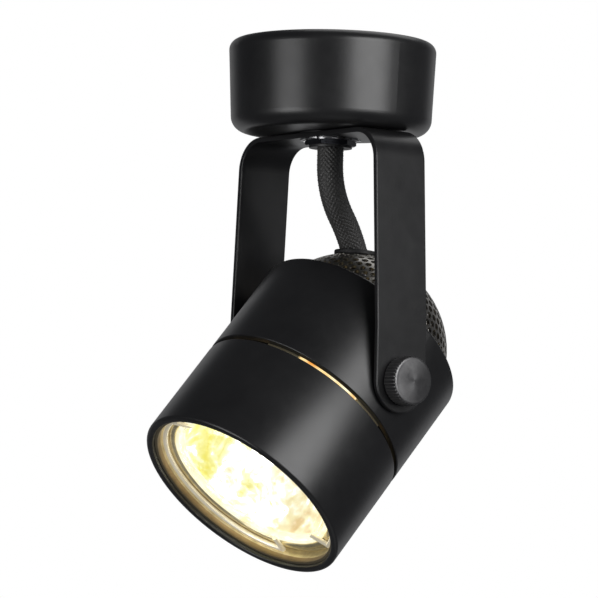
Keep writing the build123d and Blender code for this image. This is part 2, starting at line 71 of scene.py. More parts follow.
JOINTS = {joint["name"]: joint for joint in frame["joints"]}
PIVOT = Vector(JOINTS["head_tilt"]["pos_m"])
LAMP_AXIS = Vector(JOINTS["lamp_twist"]["axis"])
HEAD_TILT = math.atan2(-LAMP_AXIS.y, -LAMP_AXIS.z)
# Head outlines are drawn about the pivot with +Z to the rear.
HEAD = Matrix.Translation(PIVOT) @ Matrix.Rotation(-HEAD_TILT, 4, "X")
WORLD = Matrix.Identity(4)
# Heights along the lamp's axis that both shapes and looks use.
LAMP_FRONT = -39.2
SEAT_FRONT = -43.1


# ---- camera -------------------------------------------------------------------------
CAMERA_AZIMUTH = math.radians(51.33)
CAMERA_ELEVATION = math.radians(-3.57)
CAMERA_ROLL = math.radians(1.40)
CAMERA_DISTANCE = 1.0047
CAMERA_LENS = 210.7
CAMERA_SIDE_AIM = -0.008
CAMERA_HEIGHT_AIM = -0.0744


def make_camera():
    """Long-lens camera from the front right, slightly below the lamp."""
    across, rise = CAMERA_AZIMUTH, CAMERA_ELEVATION
    back = Vector(
        (math.sin(across) * math.cos(rise), -math.cos(across) * math.cos(rise), math.sin(rise))
    )
    right = Vector((math.cos(across), math.sin(across), 0))
    up = back.cross(right)
    rolled_right = right * math.cos(CAMERA_ROLL) + up * math.sin(CAMERA_ROLL)
    rolled_up = up * math.cos(CAMERA_ROLL) - right * math.sin(CAMERA_ROLL)
    aim = right * CAMERA_SIDE_AIM + Vector((0, 0, CAMERA_HEIGHT_AIM))
    data = bpy.data.cameras.new("camera")
    data.lens = CAMERA_LENS
    data.sensor_width = 36
    data.clip_start = 0.01
    camera = bpy.data.objects.new("camera", data)
    turn = Matrix((rolled_right, rolled_up, back)).transposed().to_4x4()
    camera.matrix_world = Matrix.Translation(aim + back * CAMERA_DISTANCE) @ turn
    bpy.context.scene.collection.objects.link(camera)
    bpy.context.scene.camera = camera


make_camera()


# ---- mesh helpers -------------------------------------------------------------------
def finish_mesh(name, mesh, body, slot_name, replaced=(), crease=35, look=None):
    """Makes the object, shades it, ties it to its body, gives it its slot's material and hides the CAD nodes it
    replaces.
    """
    mesh.polygons.foreach_set("use_smooth", [True] * len(mesh.polygons))
    mesh.set_sharp_from_angle(angle=math.radians(crease))
    piece = bpy.data.objects.new(name, mesh)
    bpy.context.scene.collection.objects.link(piece)
    mesh.materials.append(look or LOOKS[slot_name])
    if body:
        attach(piece, body)
    if replaced:
        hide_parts(*replaced)
    return piece


def mesh_from(name, points, faces, place=WORLD):
    """Mesh from points in millimetres, put in place, with outward normals and no doubles."""
    mesh = bpy.data.meshes.new(name)
    mesh.from_pydata([place @ (Vector(p) * MM) for p in points], [], faces)
    shape = bmesh.new()
    shape.from_mesh(mesh)
    bmesh.ops.remove_doubles(shape, verts=shape.verts, dist=1e-6)
    bmesh.ops.recalc_face_normals(shape, faces=shape.faces)
    shape.to_mesh(mesh)
    shape.free()
    return mesh


def rounded(points, rounds, steps=6):
    """The outline's points with an arc at each corner that rounds names, as {index: radius}."""
    outline = []
    count = len(points)
    for index, corner in enumerate(points):
        here = Vector(corner)
        if index not in rounds:
            outline.append(here)
            continue
        before = (Vector(points[index - 1]) - here).normalized()
        after = (Vector(points[(index + 1) % count]) - here).normalized()
        half = before.angle(after) / 2
        reach = rounds[index] / math.tan(half)
        centre = here + (before + after).normalized() * (rounds[index] / math.sin(half))
        start, end = here + before * reach - centre, here + after * reach - centre
        sweep = start.angle(end)
        for step in range(steps + 1):
            part = step / steps
            ray = start * math.sin((1 - part) * sweep) + end * math.sin(part * sweep)
            outline.append(centre + ray / math.sin(sweep))
    return outline


def turned(name, outline, place=WORLD, steps=160, closed=True):
    """Mesh of revolution about Z from (radius, height) points."""
    points, faces, rows = [], [], []
    for radius, height in outline:
        if radius < 1e-4:
            rows.append([len(points)] * steps)
            points.append((0, 0, height))
            continue
        rows.append(list(range(len(points), len(points) + steps)))
        for step in range(steps):
            angle = 2 * math.pi * step / steps
            points.append((radius * math.cos(angle), radius * math.sin(angle), height))
    last = len(rows) if closed else len(rows) - 1
    for row in range(last):
        low, high = rows[row], rows[(row + 1) % len(rows)]
        for step in range(steps):
            ahead = (step + 1) % steps
            loop = []
            for vertex in (low[step], low[ahead], high[ahead], high[step]):
                if vertex not in loop:
                    loop.append(vertex)
            if len(loop) > 2:
                faces.append(loop)
    return mesh_from(name, points, faces, place)


# ---- material helpers ---------------------------------------------------------------
class Look:
    """One Principled material with named sockets and a few node shortcuts."""

    def __init__(self, name, colour, **sockets):
        self.material = bpy.data.materials.new(name)
        self.material.use_nodes = True
        self.tree = self.material.node_tree
        self.shader = self.tree.nodes["Principled BSDF"]
        self.shader.inputs["Base Color"].default_value = (*colour, 1)
        for socket, value in sockets.items():
            self.shader.inputs[socket.replace("_", " ")].default_value = value

    def node(self, kind, links=None, **values):
        """Adds a node; values set its inputs or properties, links join its inputs."""
        made = self.tree.nodes.new(kind)
        for key, value in values.items():
            name = key.replace("_", " ")
            if name in made.inputs:
                made.inputs[name].default_value = value
            else:
                setattr(made, key, value)
        for key, source in (links or {}).items():
            self.tree.links.new(source, made.inputs[key])
        return made

    def join(self, source, socket):
        self.tree.links.new(source, self.shader.inputs[socket])

    def place(self):
        return self.node("ShaderNodeTexCoord").outputs["Object"]

    def noise(self, scale, detail=4.0, rough=0.5):
        made = self.node(
            "ShaderNodeTexNoise", {"Vector": self.place()}, Scale=scale, Detail=detail, Roughness=rough
        )
        return made.outputs["Fac"]

    def ramp(self, source, stops):
        """Colour ramp over (place, colour) stops."""
        made = self.node("ShaderNodeValToRGB", {"Fac": source})
        ramp = made.color_ramp
        while len(ramp.elements) < len(stops):
            ramp.elements.new(0.5)
        for element, (where, colour) in zip(ramp.elements, stops):
            element.position = where
            element.color = (*colour, 1)
        return made.outputs["Color"]

    def depth(self, front, rear):
        """0 to 1 from one place to another along the lamp's axis, in the head outlines' millimetres."""
        along = self.node("ShaderNodeVectorMath", {"Vector": self.place()}, operation="DOT_PRODUCT")
        along.inputs[1].default_value = -LAMP_AXIS
        made = self.node("ShaderNodeMapRange", {"Value": along.outputs["Value"]})
        made.inputs["From Min"].default_value = front * MM - LAMP_AXIS.dot(PIVOT)
        made.inputs["From Max"].default_value = rear * MM - LAMP_AXIS.dot(PIVOT)
        return made.outputs["Result"]

    def mixed(self, share, first, second, blend="MIX"):
        """Mix of two colours; share is a link or a number."""
        made = self.node("ShaderNodeMix", data_type="RGBA", blend_type=blend)
        if isinstance(share, float):
            made.inputs[0].default_value = share
        else:
            self.tree.links.new(share, made.inputs[0])
        self.tree.links.new(first, made.inputs[6])
        self.tree.links.new(second, made.inputs[7])
        return made.outputs[2]

    def spread(self, source, low, high):
        """Maps a 0 to 1 value onto low to high."""
        made = self.node("ShaderNodeMapRange", {"Value": source})
        made.inputs["To Min"].default_value = low
        made.inputs["To Max"].default_value = high
        return made.outputs["Result"]

    def bump(self, height, depth, strength=1.0, under=None):
        """Bump of the given depth in metres."""
        links = {"Height": height}
        if under:
            links["Normal"] = under
        made = self.node("ShaderNodeBump", links, Strength=strength, Distance=depth)
        return made.outputs["Normal"]


def black_paint():
    """Satin black enamel: slight orange peel, faint dust and uneven sheen."""
    look = Look("black_paint", (0.012, 0.012, 0.0125), Roughness=0.34, IOR=1.5)
    cloud = look.noise(60, 5, 0.6)
    look.join(
        look.ramp(cloud, [(0.3, (0.0075, 0.0075, 0.008)), (0.7, (0.012, 0.012, 0.0125))]), "Base Color"
    )
    look.join(look.spread(look.noise(240, 6, 0.65), 0.29, 0.40), "Roughness")
    peel = look.bump(look.noise(1500, 3, 0.5), 0.00002, 0.35)
    look.join(look.bump(look.noise(5200, 2, 0.5), 0.000008, 0.35, peel), "Normal")
    return look.material


def plated_steel(name="zinc_steel", colour=(0.56, 0.56, 0.57), rough=0.26):
    """Bright zinc plate with faint drawing lines and dull patches."""
    look = Look(name, colour, Metallic=1.0, Roughness=rough)
    dull = tuple(0.72 * value for value in colour)
    look.join(look.ramp(look.noise(320, 6, 0.7), [(0.35, dull), (0.65, colour)]), "Base Color")
    look.join(look.spread(look.noise(700, 5, 0.7), rough - 0.08, rough + 0.16), "Roughness")
    look.join(look.bump(look.noise(1600, 2, 0.5), 0.000004, 0.25), "Normal")
    return look.material


def plastic(name, colour, rough=0.45, grain=1800):
    """Moulded or rubbery surface with fine grain."""
    look = Look(name, colour, Roughness=rough)
    dark = tuple(0.8 * value for value in colour)
    look.join(look.ramp(look.noise(150, 5, 0.6), [(0.35, dark), (0.65, colour)]), "Base Color")
    look.join(look.spread(look.noise(600, 4, 0.6), rough - 0.07, rough + 0.1), "Roughness")
    look.join(look.bump(look.noise(grain, 3, 0.5), 0.00002, 0.3), "Normal")
    return look.material


def knob_face_look():
    """Blackened turned metal: concentric cutter lines give a soft fan of light."""
    look = Look("knob_plastic", (0.05, 0.05, 0.051), Metallic=0.8, Roughness=0.36, Anisotropic=0.45)
    tangent = look.node("ShaderNodeTangent", direction_type="RADIAL", axis="X")
    look.join(tangent.outputs["Tangent"], "Tangent")
    patches = look.ramp(
        look.noise(420, 5, 0.6), [(0.3, (0.095, 0.094, 0.096)), (0.7, (0.14, 0.139, 0.141))]
    )
    look.join(patches, "Base Color")
    look.join(look.spread(look.noise(900, 4, 0.6), 0.30, 0.42), "Roughness")
    return look.material


def striped_insulation():
    """Green insulation with yellow stripes along the wire."""
    look = Look("earth_insulation", (0.06, 0.3, 0.03), Roughness=0.4)
    wave = look.node(
        "ShaderNodeTexWave", {"Vector": look.place()}, Scale=330.0, Distortion=0.6, bands_direction="X"
    )
    stripes = look.ramp(wave.outputs["Fac"], [(0.45, (0.05, 0.28, 0.03)), (0.55, (0.75, 0.6, 0.03))])
    look.join(stripes, "Base Color")
    look.join(look.bump(look.noise(2000), 0.00001, 0.3), "Normal")
    return look.material


def braid_look():
    """Black glass-fibre braid: fine fibres, with a dry shine on the yarns' crowns."""
    look = Look("sleeve_braid", (0.03, 0.03, 0.03), Roughness=0.42, Sheen_Weight=0.2, Sheen_Roughness=0.4)
    where = look.node("ShaderNodeTexCoord").outputs["UV"]
    threads = look.node("ShaderNodeMapping", {"Vector": where}, Scale=(70, 70, 1)).outputs["Vector"]
    fibre = look.node("ShaderNodeTexNoise", {"Vector": threads}, Scale=2.2, Detail=5.0, Roughness=0.7)
    look.join(
        look.ramp(fibre.outputs["Fac"], [(0.38, (0.012, 0.012, 0.012)), (0.64, (0.075, 0.073, 0.070))]),
        "Base Color",
    )
    look.join(look.spread(fibre.outputs["Fac"], 0.55, 0.30), "Roughness")
    look.join(look.bump(fibre.outputs["Fac"], 0.00008, 0.7), "Normal")
    return look.material


def dome_look():
    """Dark gunmetal plate, smoky in places."""
    look = Look("dome_nickel", (0.35, 0.34, 0.31), Metallic=1.0, Roughness=0.3)
    smoke = look.ramp(look.noise(130, 6, 0.7), [(0.3, (0.22, 0.21, 0.19)), (0.7, (0.46, 0.445, 0.41))])
    look.join(smoke, "Base Color")
    look.join(look.spread(look.noise(500, 5, 0.7), 0.24, 0.42), "Roughness")
    look.join(look.bump(look.noise(1800), 0.00001, 0.4), "Normal")
    return look.material


# The painted reflection on the mirror turns yellower along this direction, in colour steps per metre.
YELLOWER = (-6.0, -4.5, 4.0)
YELLOWER_START = 0.36
MIRROR_POWER = 6.0


def facet_look():
    """The lit mirror: emission paints the burner's light reflected in it, as soft mottled light, yellower towards
    one side and white around the burner.
    """
    look = Look("reflector_glow", (0.05, 0.045, 0.03), Roughness=0.35)
    where = look.place()
    cells = look.node("ShaderNodeTexVoronoi", {"Vector": where}, Scale=330.0, feature="F1")
    drift = look.node(
        "ShaderNodeTexNoise", {"Vector": where}, Scale=95.0, Detail=4.0, Roughness=0.55, Distortion=1.0
    )
    spots = look.node(
        "ShaderNodeMix", {"A": drift.outputs["Fac"], "B": cells.outputs["Distance"]}, Factor=0.12
    )
    lean = look.node("ShaderNodeVectorMath", {"Vector": where}, operation="DOT_PRODUCT")
    lean.inputs[1].default_value = YELLOWER
    side = look.node("ShaderNodeMath", {"Value": lean.outputs["Value"]}, operation="ADD")
    side.inputs[1].default_value = YELLOWER_START
    pooled = look.node("ShaderNodeMath", operation="ADD")
    look.tree.links.new(spots.outputs["Result"], pooled.inputs[0])
    look.tree.links.new(side.outputs["Value"], pooled.inputs[1])
    colour = look.ramp(
        pooled.outputs["Value"],
        [
            (0.22, (0.125, 0.085, 0.035)), (0.36, (0.16, 0.145, 0.085)), (0.44, (0.20, 0.195, 0.17)),
            (0.49, (1.0, 0.98, 0.90)), (0.545, (0.24, 0.235, 0.15)), (0.62, (0.165, 0.16, 0.06)),
            (0.76, (0.156, 0.141, 0.014)),
        ],
    )
    # Painted reflection: the emission colour stands in for the burner's light reflected by the mirror.
    look.join(colour, "Emission Color")
    look.shader.inputs["Emission Strength"].default_value = MIRROR_POWER
    return look.material


def amber_glow(look):
    """Patches of amber and cream lamp light."""
    return look.ramp(
        look.noise(100, 2, 0.5),
        [(0.38, (0.85, 0.34, 0.06)), (0.45, (1.0, 0.74, 0.34)), (0.53, (1.0, 0.95, 0.70))],
    )


def bowl_look():
    """Pressed glass bowl with painted lamp light as emission: a pale glowing rim, an amber glow along its side and
    a dark neck.
    """
    look = Look("reflector_glass", (0.22, 0.19, 0.13), Roughness=0.2, Emission_Strength=1.0)
    depth = look.depth(LAMP_FRONT, 0.0)
    # Painted light: the emission paints the lamp's light on the rim and along the side, fading out towards the
    # neck.
    rim = look.ramp(look.noise(240, 3, 0.5), [(0.35, (0.86, 0.78, 0.42)), (0.6, (1.0, 0.97, 0.78))])
    beyond_rim = look.ramp(depth, [(0.06, (0, 0, 0)), (0.09, (1, 1, 1))])
    fade = look.ramp(
        depth,
        [(0.06, (1, 1, 1)), (0.10, (0.8, 0.8, 0.8)), (0.4, (0.35, 0.35, 0.35)), (0.6, (0.02, 0.02, 0.02))],
    )
    hue = look.mixed(beyond_rim, rim, amber_glow(look))
    look.join(look.mixed(1.0, hue, fade, "MULTIPLY"), "Emission Color")
    look.join(look.bump(look.noise(900), 0.00002, 0.3), "Normal")
    return look.material


def ceramic_look():
    """Lamp base: pale ceramic with painted lamp light as emission, glowing behind the light gap and dark further
    back.
    """
    look = Look("lamp_ceramic", (0.5, 0.46, 0.38), Roughness=0.4, Emission_Strength=1.15)
    # Painted light: the emission paints stray lamp light seen through the gap, fading out further back.
    fade = look.ramp(look.depth(-14.0, 6.0), [(0.62, (1, 1, 1)), (0.72, (0.03, 0.03, 0.03))])
    look.join(look.mixed(1.0, amber_glow(look), fade, "MULTIPLY"), "Emission Color")
    look.join(look.bump(look.noise(900), 0.00002, 0.3), "Normal")
    return look.material


def seat_look():
    """Bright ring behind the lamp's rim, with painted shade that darkens and browns it towards its front edge,
    away from the lamp, and a faint painted glow of lamp light.
    """
    look = Look("bright_aluminium", (0.9, 0.83, 0.6), Metallic=1.0, Roughness=0.36, Emission_Strength=0.04)
    # Painted light: the faint emission paints the lamp's light on the ring.
    look.shader.inputs["Emission Color"].default_value = (1.0, 0.88, 0.62, 1)
    streaks = look.ramp(look.noise(320, 6, 0.7), [(0.35, (0.68, 0.62, 0.42)), (0.65, (0.92, 0.86, 0.64))])
    # Painted shade: the colour darkens and browns towards the front edge, away from the lamp's light.
    lamp_falloff_shade = look.ramp(
        look.depth(SEAT_FRONT, -38.9),
        [(0.05, (0.10, 0.07, 0.04)), (0.38, (0.36, 0.27, 0.18)), (0.44, (1, 0.96, 0.85))],
    )
    look.join(look.mixed(1.0, streaks, lamp_falloff_shade, "MULTIPLY"), "Base Color")
    look.join(look.spread(look.noise(700, 5, 0.7), 0.28, 0.50), "Roughness")
    return look.material


def wire_look():
    """Bright spring wire beside the lamp: it also carries a little of the lamp's stray light."""
    look = Look("spring_wire", (0.95, 0.9, 0.76), Metallic=1.0, Roughness=0.42, Emission_Strength=0.3)
    look.shader.inputs["Emission Color"].default_value = (1.0, 0.90, 0.68, 1)
    streaks = look.ramp(look.noise(320, 6, 0.7), [(0.35, (0.74, 0.68, 0.52)), (0.65, (0.95, 0.9, 0.76))])
    look.join(streaks, "Base Color")
    look.join(look.spread(look.noise(700, 5, 0.7), 0.34, 0.55), "Roughness")
    return look.material


def glowing(name, colour, strength, base=(0.8, 0.7, 0.5), rough=0.4):
    """A surface lit from inside by stray lamp light."""
    look = Look(name, base, Roughness=rough)
    warm = tuple(value * 0.55 for value in colour)
    look.join(look.ramp(look.noise(220, 4, 0.6), [(0.3, warm), (0.7, colour)]), "Emission Color")
    look.shader.inputs["Emission Strength"].default_value = strength
    look.join(look.bump(look.noise(900), 0.00002, 0.3), "Normal")
    return look.material


def clear_glass():
    """Thin pressed glass: mostly see-through, with a faint ripple in its gloss."""
    tint = (1.0, 0.98, 0.92)
    look = Look("lens_glass", tint, Roughness=0.05, IOR=1.47, Transmission_Weight=1.0, Alpha=0.14)
    look.join(look.bump(look.noise(260, 3, 0.5), 0.00004, 0.3), "Normal")
    look.join(look.spread(look.noise(700, 3, 0.5), 0.05, 0.10), "Roughness")
    return look.material


LOOKS = {
    "black_paint": black_paint(),
    "zinc_steel": plated_steel(),
    "black_steel": plated_steel("black_steel", (0.05, 0.052, 0.06), 0.34),
    "black_plastic": plastic("black_plastic", (0.02, 0.02, 0.021), 0.42),
    "knob_plastic": knob_face_look(),
    "dome_nickel": dome_look(),
    "bright_aluminium": seat_look(),
    "spring_wire": wire_look(),
    "block_plastic": plastic("block_plastic", (0.78, 0.77, 0.72), 0.4),
    "brass": plated_steel("brass", (0.70, 0.52, 0.22), 0.28),
    "live_insulation": plastic("live_insulation", (0.16, 0.06, 0.03), 0.4),
    "neutral_insulation": plastic("neutral_insulation", (0.03, 0.10, 0.42), 0.4),
    "earth_insulation": striped_insulation(),
    "sleeve_braid": braid_look(),
    "grommet_rubber": plastic("grommet_rubber", (0.018, 0.018, 0.018), 0.6),
    "holder_ceramic": plastic("holder_ceramic", (0.74, 0.71, 0.64), 0.3, 900),
    "lamp_ceramic": ceramic_look(),
    "reflector_glass": bowl_look(),
    "lens_glass": clear_glass(),
    "pin_metal": plated_steel("pin_metal", (0.6, 0.58, 0.52), 0.2),
    "quartz": glowing("quartz", (1.0, 0.95, 0.85), 3.0, (0.5, 0.5, 0.5), 0.1),
    "tungsten": glowing("tungsten", (1.0, 0.9, 0.7), 12.0, (0.5, 0.5, 0.5), 0.5),
}
FACETS = facet_look()


def dress_cad_nodes():
    """Gives every CAD node the material of its slot; the ones that stay visible keep it."""
    for row in frame["record"]["subparts"]:
        data = frame["nodes"][row["node"]].data
        data.materials.clear()
        data.materials.append(LOOKS[row["material_slot"]])


dress_cad_nodes()


# ---- perforated rear dome -----------------------------------------------------------
DOME_R = 28.2
DOME_SHEET = 0.8
DOME_CENTRE = 13.04
DOME_FLANGE = 17.0
FLANGE_R = 30.1
ENTRY_ANGLE = math.radians(38.3)
ENTRY_HOLE_R = 5.25
HOLE_R = 1.12
HOLE_PITCH = 3.05
HOLE_SIDES = 18


def dome_direction(flat):
    """Unit direction from the dome's centre for a point of the flat sheet that was drawn into it."""
    reach = flat.length
    angle = reach / DOME_R
    if reach < 1e-9:
        return Vector((0, 0, 1))
    ring = math.sin(angle) / reach
    return Vector((flat.x * ring, flat.y * ring, math.cos(angle)))


def make_dome():
    """Hex pattern of round holes in a flat sheet, drawn over the dome."""
    rim_angle = math.acos((DOME_FLANGE - DOME_CENTRE) / DOME_R)
    rim_reach = rim_angle * DOME_R
    entry = Vector((0, -ENTRY_ANGLE * DOME_R))
    entry_direction = dome_direction(entry)
    entry_share = math.asin(ENTRY_HOLE_R / DOME_R)

    def settle(flat):
        """Keeps a corner inside the rim and outside the sleeve's hole; returns its direction."""
        if flat.length > rim_reach:
            flat = flat.normalized() * rim_reach
        direction = dome_direction(flat)
        apart = direction.angle(entry_direction)
        if apart < entry_share:
            axis = entry_direction.cross(direction).normalized()
            direction = Matrix.Rotation(entry_share, 3, axis) @ entry_direction
        return direction

    shape = bmesh.new()
    corner_r = HOLE_PITCH / math.sqrt(3)
    step_y = HOLE_PITCH * math.sqrt(3) / 2
    rows = int(rim_reach / step_y) + 2
    for row in range(-rows, rows + 1):
        for column in range(-rows, rows + 1):
            centre = Vector(((column + 0.5 * (row % 2)) * HOLE_PITCH, row * step_y))
            if centre.length > rim_reach + 0.8 * corner_r:
                continue
            from_entry = dome_direction(centre).angle(entry_direction) * DOME_R
            if from_entry < ENTRY_HOLE_R - 0.9 * corner_r:
                continue
            corners = [
                centre + Vector((math.sin(turn), math.cos(turn))) * corner_r
                for turn in (side * math.pi / 3 for side in range(6))
            ]
            whole = centre.length < rim_reach - HOLE_R - 0.35 and from_entry > ENTRY_HOLE_R + HOLE_R + 0.4
            outer = [shape.verts.new(settle(corner) * DOME_R) for corner in corners]
            if not whole:
                shape.faces.new(outer)
                continue
            holes = [
                shape.verts.new(
                    dome_direction(centre + Vector((math.sin(turn), math.cos(turn))) * HOLE_R) * DOME_R
                )
                for turn in (side * 2 * math.pi / HOLE_SIDES for side in range(HOLE_SIDES))
            ]
            per_side = HOLE_SIDES // 6
            for side in range(6):
                arc = [holes[(side * per_side + k) % HOLE_SIDES] for k in range(per_side + 1)]
                shape.faces.new([outer[side], outer[(side + 1) % 6], *reversed(arc)])
    bmesh.ops.remove_doubles(shape, verts=shape.verts, dist=0.02)
    bmesh.ops.dissolve_degenerate(shape, edges=shape.edges, dist=0.01)
    bmesh.ops.recalc_face_normals(shape, faces=shape.faces)
    bmesh.ops.solidify(shape, geom=shape.faces[:], thickness=DOME_SHEET)
    if max(v.co.length for v in shape.verts) > DOME_R + 0.1:
        raise ValueError("the dome's sheet went outwards")
    mesh = bpy.data.meshes.new("perforated_dome")
    shape.to_mesh(mesh)
    shape.free()
    mesh.transform(Matrix.Scale(MM, 4) @ Matrix.Translation((0, 0, DOME_CENTRE)))
    mesh.transform(HEAD)
    finish_mesh("perforated_dome", mesh, "head", "dome_nickel", ["rear_dome"], 40)
    inner = DOME_R * math.sin(rim_angle) - DOME_SHEET
    flange = [
        (inner, DOME_FLANGE), (FLANGE_R, DOME_FLANGE), (FLANGE_R, DOME_FLANGE + DOME_SHEET),
        (inner, DOME_FLANGE + DOME_SHEET),
    ]
    rim = turned("dome_flange", rounded(flange, {3: 0.3}, 3), HEAD)
    finish_mesh("dome_flange", rim, "head", "dome_nickel")


make_dome()


# ---- braided sleeve -----------------------------------------------------------------
# The route's points are the CAD sleeve's, with one more above the bend so that the top stays straight.
SLEEVE_ROUTE = [(0, 0, -6.0), (0, 0, -26.9), (0, 0, -43.5), (0, 9.4, -57.2), (0, 11.6, -66.0)]
SLEEVE_R = 3.85
SLEEVE_SIDES = 120
SLEEVE_ROWS = 300
BRAID_YARNS = 18
BRAID_DEPTH = 0.42


def spline_points(route):
    """The points of the smooth spline that the route's points control, in metres."""
    curve = bpy.data.curves.new("sleeve_route", "CURVE")
    curve.dimensions = "3D"
    curve.resolution_u = 40
    spline = curve.splines.new("NURBS")
    spline.points.add(len(route) - 1)
    for point, where in zip(spline.points, route):
        point.co = (*(Vector(where) * MM), 1)
    spline.order_u = 3
    spline.use_endpoint_u = True
    holder = bpy.data.objects.new("sleeve_route", curve)
    mesh = bpy.data.meshes.new_from_object(holder)
    points = [vertex.co.copy() for vertex in mesh.vertices]
    bpy.data.objects.remove(holder)
    return points


def evenly(points, rows):
    """Rows evenly spaced along the points, each as (place, tangent)."""
    lengths = [0.0]
    for first, second in zip(points, points[1:]):
        lengths.append(lengths[-1] + (second - first).length)
    spaced, index = [], 0
    for row in range(rows):
        goal = lengths[-1] * row / (rows - 1)
        while index < len(points) - 2 and lengths[index + 1] < goal:
            index += 1
        share = (goal - lengths[index]) / (lengths[index + 1] - lengths[index])
        spaced.append(points[index].lerp(points[index + 1], share))
    ends = [spaced[0], *spaced, spaced[-1]]
    return [(spaced[i], (ends[i + 2] - ends[i]).normalized()) for i in range(rows)], lengths[-1]


def weave_height(right_hand, left_hand):
    """Height of a plain braid, 0 to 1, where two families of round yarns pass over and under."""
    first, second = math.floor(right_hand), math.floor(left_hand)
    across_first = math.cos(math.pi * (right_hand - first - 0.5))
    across_second = math.cos(math.pi * (left_hand - second - 0.5))
    over_first = math.cos(math.pi * (left_hand - 0.5 + first))
    over_second = -math.cos(math.pi * (right_hand - 0.5 + second))
    return max(across_first * (0.6 + 0.4 * over_first), across_second * (0.6 + 0.4 * over_second))


def make_sleeve():
    """Tube of woven relief along the spline, with a map for the fibres."""
    rows, length = evenly(spline_points(SLEEVE_ROUTE), SLEEVE_ROWS)
    side_axis = Vector((1, 0, 0))
    points, faces, wraps = [], [], []
    advance = length / (2 * math.pi * SLEEVE_R * MM) * BRAID_YARNS
    for row, (place, tangent) in enumerate(rows):
        out = side_axis.cross(tangent).normalized()
        for side in range(SLEEVE_SIDES):
            turn = 2 * math.pi * side / SLEEVE_SIDES
            around = BRAID_YARNS * side / SLEEVE_SIDES
            along = advance * row / (SLEEVE_ROWS - 1)
            relief = weave_height(around + along, around - along)
            reach = (SLEEVE_R - BRAID_DEPTH * (1 - relief)) * MM
            points.append(place + (side_axis * math.cos(turn) + out * math.sin(turn)) * reach)
    for row in range(SLEEVE_ROWS - 1):
        for side in range(SLEEVE_SIDES):
            ahead = (side + 1) % SLEEVE_SIDES
            low, high = row * SLEEVE_SIDES, (row + 1) * SLEEVE_SIDES
            faces.append((low + side, high + side, high + ahead, low + ahead))
            left, right = side / SLEEVE_SIDES, (side + 1) / SLEEVE_SIDES
            bottom, top = row / SLEEVE_ROWS, (row + 1) / SLEEVE_ROWS
            wraps += [(left, bottom), (left, top), (right, top), (right, bottom)]
    faces.append(tuple(range(SLEEVE_SIDES)))
    faces.append(tuple(reversed(range((SLEEVE_ROWS - 1) * SLEEVE_SIDES, SLEEVE_ROWS * SLEEVE_SIDES))))
    wraps += [(0, 0)] * (2 * SLEEVE_SIDES)
    mesh = bpy.data.meshes.new("braided_sleeve")
    mesh.from_pydata(points, [], faces)
    fibres = mesh.uv_layers.new(name="fibres")
    for loop, wrap in zip(fibres.data, wraps):
        loop.uv = (wrap[0], wrap[1] * length / (2 * math.pi * SLEEVE_R * MM))
    sleeve = finish_mesh("braided_sleeve", mesh, None, "sleeve_braid", ["cable_sleeve"], 80)
    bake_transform(sleeve)


make_sleeve()


# ---- faceted reflector --------------------------------------------------------------
LAMP_R = 25.35
REFLECTOR_RINGS = 11
REFLECTOR_SIDES = 44
MIRROR_COAT = 0.25


def arc_through(first, middle, last, steps):
    """Points on the circle arc through three (radius, height) points."""
    a, b, c = Vector(first), Vector(middle), Vector(last)
    d = 2 * (a.x * (b.y - c.y) + b.x * (c.y - a.y) + c.x * (a.y - b.y))
    a2, b2, c2 = a.length_squared, b.length_squared, c.length_squared
    x = (a2 * (b.y - c.y) + b2 * (c.y - a.y) + c2 * (a.y - b.y)) / d
    y = (a2 * (c.x - b.x) + b2 * (a.x - c.x) + c2 * (b.x - a.x)) / d
    centre = Vector((x, y))
    start, end = a - centre, c - centre
    sweep = start.angle_signed(end)
    return [centre + Matrix.Rotation(-sweep * step / steps, 2) @ start for step in range(steps + 1)]


def make_reflector():
    """Plain glass bowl behind a thin faceted mirror."""
    bowl = [(LAMP_R, -36.9), (LAMP_R, LAMP_FRONT), (24.3, LAMP_FRONT), (24.3, -37.4), (23.5, -37.4)]
    bowl += arc_through((23.5, -37.2), (19.4, -24.6), (6.2, -12.9), 24)
    bowl += [(6.2, -9.4)]
    bowl += arc_through((11.0, -9.4), (20.6, -22.9), (24.2, -36.9), 24)
    glass = turned("reflector_glass", bowl, HEAD, 120)
    finish_mesh("reflector_glass", glass, "lamp", "reflector_glass", ["lamp_reflector"])
    curve = arc_through((23.2, -37.3), (19.0, -24.8), (6.0, -13.2), REFLECTOR_RINGS)
    shape_points, faces = [], []
    for layer in (0.0, MIRROR_COAT):
        for row, point in enumerate(curve):
            for side in range(REFLECTOR_SIDES):
                turn = 2 * math.pi * (side + 0.5 * (row % 2)) / REFLECTOR_SIDES
                reach = point.x + layer * 0.8
                shape_points.append((reach * math.cos(turn), reach * math.sin(turn), point.y + layer * 0.6))
    rows = len(curve)

    def corner(layer, row, side):
        return (layer * rows + row) * REFLECTOR_SIDES + side % REFLECTOR_SIDES

    for layer in (0, 1):
        for row in range(rows - 1):
            for side in range(REFLECTOR_SIDES):
                lean = row % 2
                low, low_next = corner(layer, row, side), corner(layer, row, side + 1)
                high, high_next = corner(layer, row + 1, side), corner(layer, row + 1, side + 1)
                faces.append((low, low_next, high_next if lean else high))
                faces.append((low if lean else low_next, high_next, high))
    for row in (0, rows - 1):
        for side in range(REFLECTOR_SIDES):
            inner, inner_next = corner(0, row, side), corner(0, row, side + 1)
            faces.append((inner, inner_next, corner(1, row, side + 1), corner(1, row, side)))
    mirror = mesh_from("reflector_facets", shape_points, faces, HEAD)
    finish_mesh("reflector_facets", mirror, "lamp", "reflector_glass", crease=2, look=FACETS)


make_reflector()


# ---- front tube ---------------------------------------------------------------------
HEAD_R = 32.0
HEAD_WALL = 2.2
HEAD_FRONT = -44.5
LIGHT_GAP = -13.85


